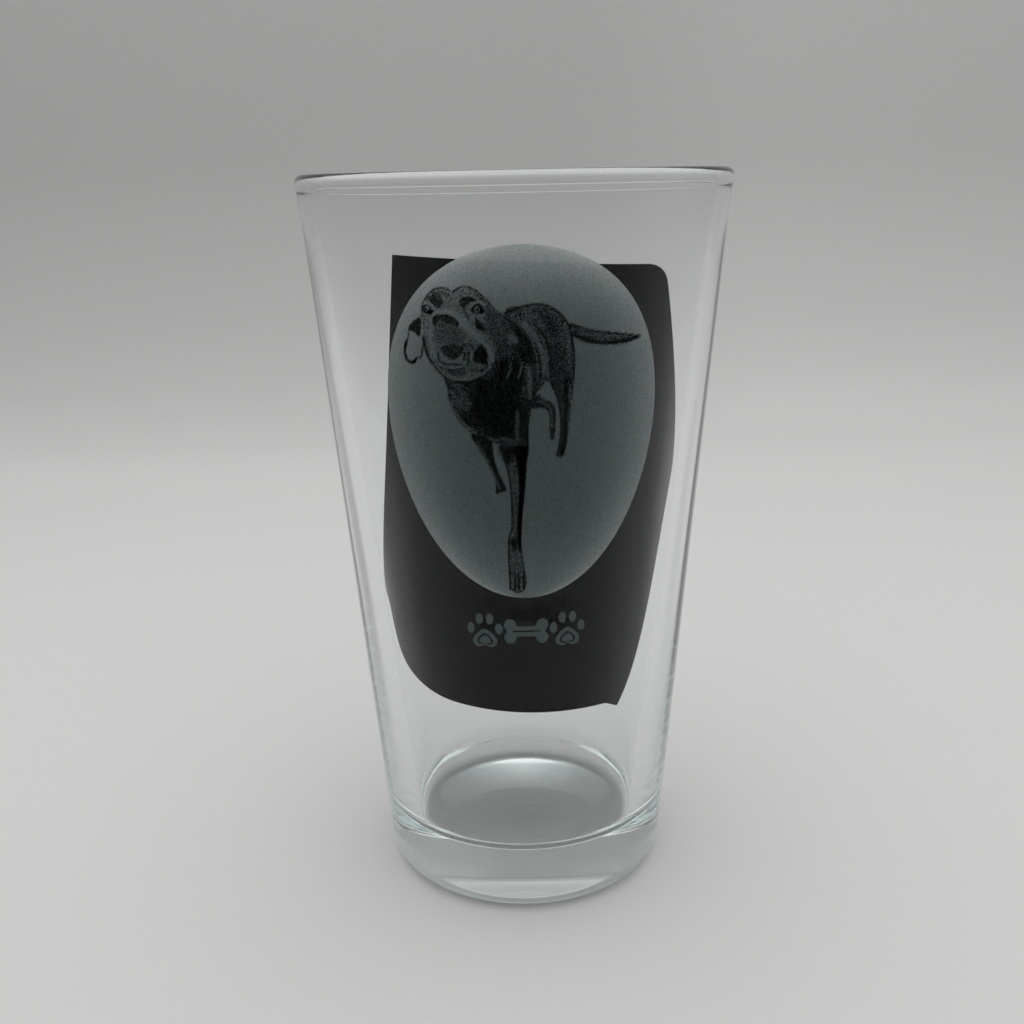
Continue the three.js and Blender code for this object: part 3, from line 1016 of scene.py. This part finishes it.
def tent_paper():
    """Studio paper, pale on the floor, with painted shade that greys it up the walls and painted light that
    makes it a little lighter on the right.
    """
    material, nodes, links, shader = new_material("tent_paper")
    tree = material.node_tree
    place = nodes.new("ShaderNodeSeparateXYZ")
    links.new(nodes.new("ShaderNodeNewGeometry").outputs["Position"], place.inputs[0])
    # Painted shade: the grey falls from the floor up the walls.
    ramp = nodes.new("ShaderNodeValToRGB")
    ramp.color_ramp.interpolation = "B_SPLINE"
    stops = ramp.color_ramp.elements
    while len(stops) < len(TENT_PAPER_PAINTED_SHADES):
        stops.new(0.5)
    for stop, (z, shade) in zip(stops, TENT_PAPER_PAINTED_SHADES):
        stop.position = z / TENT_PAINTED_SHADE_HEIGHT
        stop.color = (shade, shade, shade * TENT_PAPER_TINT, 1)
    links.new(math_node(tree, "DIVIDE", place.outputs["Z"], TENT_PAINTED_SHADE_HEIGHT), ramp.inputs["Fac"])
    # Painted light: lighter to the right, off the floor.
    to_the_right = smooth_step(tree, place.outputs["X"], *TENT_PAINTED_LIGHT_FROM_X)
    off_the_floor = smooth_step(tree, place.outputs["Z"], *TENT_PAINTED_LIGHT_FROM_Z)
    painted_light_on_right = math_node(tree, "MULTIPLY", to_the_right, off_the_floor)
    gain = math_node(tree, "ADD", math_node(tree, "MULTIPLY", painted_light_on_right, TENT_PAINTED_LIGHT_GAIN), 1.0)
    shade = nodes.new("ShaderNodeVectorMath")
    shade.operation = "SCALE"
    links.new(ramp.outputs["Color"], shade.inputs[0])
    links.new(gain, shade.inputs["Scale"])
    links.new(shade.outputs[0], shader.inputs["Base Color"])
    shader.inputs["Roughness"].default_value = 0.9
    return material


# ---------------------------------------------------------------- the stage, the light and the camera

TENT_HALF_WIDTH = 0.62
TENT_BACK = 0.46
TENT_FRONT = -0.62
TENT_CORNER = 0.22
TENT_CORNER_STEPS = 16
TENT_BEND_STEPS = 24
TENT_BEND = 0.16
TENT_TOP = 0.5
TENT_FLAT_EDGE = 0.01
TENT_GAP = 0.2 * MM
# Painted shade: the paper's grey darkens from the floor up the walls, as if less light reached them. It is
# graded over this height, and each pair is a height and a grey.
TENT_PAINTED_SHADE_HEIGHT = 0.2
TENT_PAPER_PAINTED_SHADES = ((0, 0.8), (0.012, 0.69), (0.035, 0.6), (0.07, 0.54), (0.13, 0.505), (0.2, 0.485))
TENT_PAPER_TINT = 0.995


def tent_ring(inset):
    """The tent's plan, a rectangle with round corners, drawn inset from its walls."""
    corner = TENT_CORNER - inset
    points = []
    corners = ((1, TENT_BACK), (-1, TENT_BACK), (-1, TENT_FRONT), (1, TENT_FRONT))
    for quarter, (x_side, y_edge) in enumerate(corners):
        centre_x = x_side * (TENT_HALF_WIDTH - TENT_CORNER)
        centre_y = y_edge - math.copysign(TENT_CORNER, y_edge)
        for step in range(TENT_CORNER_STEPS + 1):
            turn = (quarter + step / TENT_CORNER_STEPS) * math.pi / 2
            points.append((centre_x + corner * math.cos(turn), centre_y + corner * math.sin(turn)))
    return points


def tent():
    """A pale paper tent: a flat floor that curves up into walls on every side, open at the top."""
    bend = np.linspace(0, math.pi / 2, TENT_BEND_STEPS + 1)
    levels = [(TENT_BEND + TENT_FLAT_EDGE, 0)]
    levels += [(TENT_BEND * (1 - math.sin(a)), TENT_BEND * (1 - math.cos(a))) for a in bend]
    levels.append((0, TENT_TOP))
    rings = [[(x, y, z - TENT_GAP) for x, y in tent_ring(inset)] for inset, z in levels]
    count = len(rings[0])
    points = [point for ring in rings for point in ring]
    faces = [tuple(range(count))]
    for ring in range(len(rings) - 1):
        for i in range(count):
            j = (i + 1) % count
            low, high = ring * count, (ring + 1) * count
            faces.append((low + i, high + i, high + j, low + j))
    obj = make_mesh("tent", points, faces)
    obj.data.materials.append(tent_paper())


def area_light(name, size, position, target, power):
    data = bpy.data.lights.new(name, "AREA")
    data.shape = "RECTANGLE"
    data.size, data.size_y = size
    data.energy = power
    obj = bpy.data.objects.new(name, data)
    obj.location = position
    direction = Vector(target) - Vector(position)
    obj.rotation_euler = direction.to_track_quat("-Z", "Y").to_euler()
    bpy.context.scene.collection.objects.link(obj)


TOP_LIGHT_POWER = 4.2
TOP_LIGHT_DROP = 0.01
WORLD_SHADE = 0.1


def lights():
    ceiling_middle = (TENT_BACK + TENT_FRONT) / 2
    area_light(
        "top_light",
        (2 * TENT_HALF_WIDTH, TENT_BACK - TENT_FRONT),
        (0, ceiling_middle, TENT_TOP - TOP_LIGHT_DROP),
        (0, ceiling_middle, 0),
        TOP_LIGHT_POWER,
    )
    world = bpy.data.worlds.new("studio")
    bpy.context.scene.world = world
    world.use_nodes = True
    background = world.node_tree.nodes["Background"]
    background.inputs["Color"].default_value = (WORLD_SHADE, WORLD_SHADE, WORLD_SHADE, 1)


VIEW_DISTANCE = 0.234
VIEW_HEIGHT = 0.1477
VIEW_PITCH = math.radians(16.44)
VIEW_YAW = math.radians(-0.42)
VIEW_ROLL = math.radians(-1.147)
FIELD_OF_VIEW = math.radians(48.777)
LIGHT_PIPE_BOUNCES = 24


def camera():
    data = bpy.data.cameras.new("camera")
    data.sensor_fit = "HORIZONTAL"
    data.angle = FIELD_OF_VIEW
    data.clip_start = 0.01
    obj = bpy.data.objects.new("camera", data)
    ahead = Vector(
        (
            math.sin(VIEW_YAW) * math.cos(VIEW_PITCH),
            math.cos(VIEW_YAW) * math.cos(VIEW_PITCH),
            -math.sin(VIEW_PITCH),
        )
    )
    level = Vector((math.cos(VIEW_YAW), -math.sin(VIEW_YAW), 0))
    upright = level.cross(ahead)
    right = level * math.cos(VIEW_ROLL) + upright * math.sin(VIEW_ROLL)
    up = upright * math.cos(VIEW_ROLL) - level * math.sin(VIEW_ROLL)
    turn = Matrix((right, up, -ahead)).transposed()
    obj.matrix_world = Matrix.Translation((0, -VIEW_DISTANCE, VIEW_HEIGHT)) @ turn.to_4x4()
    bpy.context.scene.collection.objects.link(obj)
    bpy.context.scene.camera = obj


camera()
lights()
tent()
tumbler()
card()
etched_medallion()
etched_mark()

# Light is piped a long way round inside the thick base before it comes out.
cycles = bpy.context.scene.cycles
cycles.max_bounces = cycles.glossy_bounces = cycles.transmission_bounces = LIGHT_PIPE_BOUNCES

bpy.context.scene.view_settings.view_transform = "Standard"
